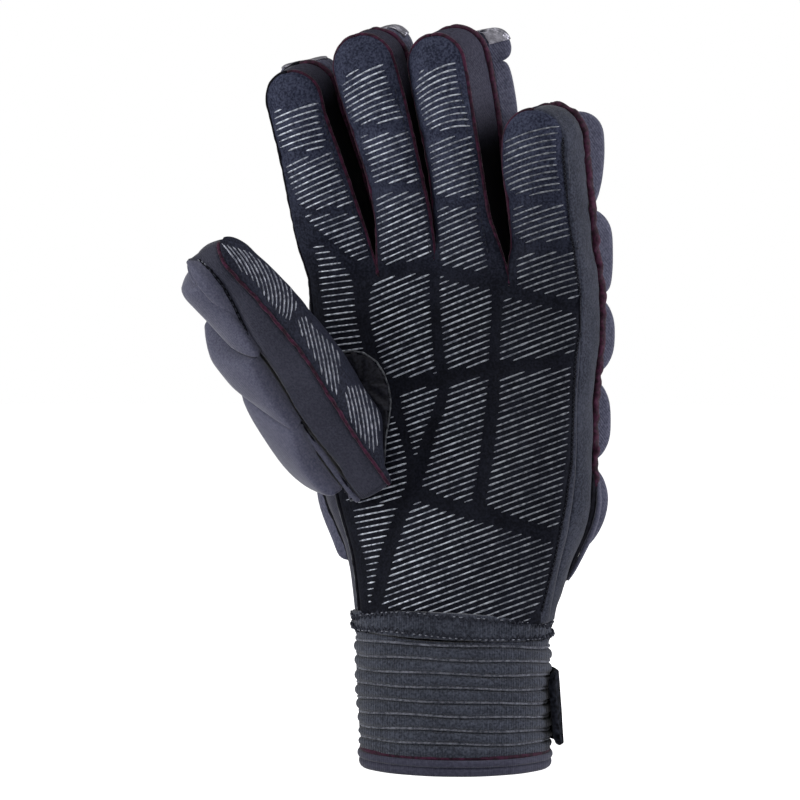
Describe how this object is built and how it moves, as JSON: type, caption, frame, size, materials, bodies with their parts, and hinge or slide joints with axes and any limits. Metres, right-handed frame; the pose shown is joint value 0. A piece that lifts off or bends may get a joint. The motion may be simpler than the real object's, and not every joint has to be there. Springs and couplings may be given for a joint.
{
  "type": "field hockey glove, left hand",
  "caption": "Left-hand field hockey glove with foam pads on the back, a striped grip palm and a ribbed wrist cuff, in the form a hand gives it.",
  "frame": {"origin": "centre of the wrist opening on the bottom edge of the cuff", "axes": "+Z from the wrist to the fingertips, -Y out of the palm, +X to the little finger's side"},
  "size_m": [0.1437, 0.0732, 0.2509],
  "materials": {
    "palm_leather": "matt charcoal synthetic suede with a fine grain",
    "grip_print": "thin raised silver-grey grip lines, satin",
    "side_cloth": "smooth knit-faced neoprene",
    "foam_cloth": "knit-faced neoprene over foam, soft sheen",
    "cuff_knit": "heathered ribbed knit",
    "binding": "dark maroon seam binding",
    "stitching": "grey polyester thread",
    "tip_patch": "silver-grey coated patch, satin",
    "strap_felt": "black brushed hook-and-loop strap"
  },
  "bodies": {
    "root": {"palm_panel": "palm_leather", "back_panel": "foam_cloth", "little_side_gusset": "side_cloth", "index_side_gusset": "side_cloth", "index_middle_fourchette": "side_cloth", "middle_ring_fourchette": "side_cloth", "ring_little_fourchette": "side_cloth", "thumb_front_panel": "palm_leather", "thumb_back_panel": "foam_cloth", "thumb_side_wall": "side_cloth", "index_pad_1": "foam_cloth", "index_pad_2": "foam_cloth", "index_pad_3": "foam_cloth", "middle_pad_1": "foam_cloth", "middle_pad_2": "foam_cloth", "middle_pad_3": "foam_cloth", "ring_pad_1": "foam_cloth", "ring_pad_2": "foam_cloth", "ring_pad_3": "foam_cloth", "little_pad_1": "foam_cloth", "little_pad_2": "foam_cloth", "thumb_pad_1": "foam_cloth", "thumb_pad_2": "foam_cloth", "thumb_pad_3": "foam_cloth", "hand_knuckle_pad_1": "foam_cloth", "hand_knuckle_pad_2": "foam_cloth", "hand_knuckle_pad_3": "foam_cloth", "hand_knuckle_pad_4": "foam_cloth", "hand_middle_pad_1": "foam_cloth", "hand_middle_pad_2": "foam_cloth", "hand_middle_pad_3": "foam_cloth", "hand_middle_pad_4": "foam_cloth", "hand_lower_pad_1": "foam_cloth", "hand_lower_pad_2": "foam_cloth", "hand_lower_pad_3": "foam_cloth", "hand_lower_pad_4": "foam_cloth", "cuff_sleeve": "cuff_knit", "cuff_seam_band": "cuff_knit", "hem_piping": "binding", "cuff_hem": "cuff_knit", "closing_strap": "strap_felt"}
  },
  "joints": []
}
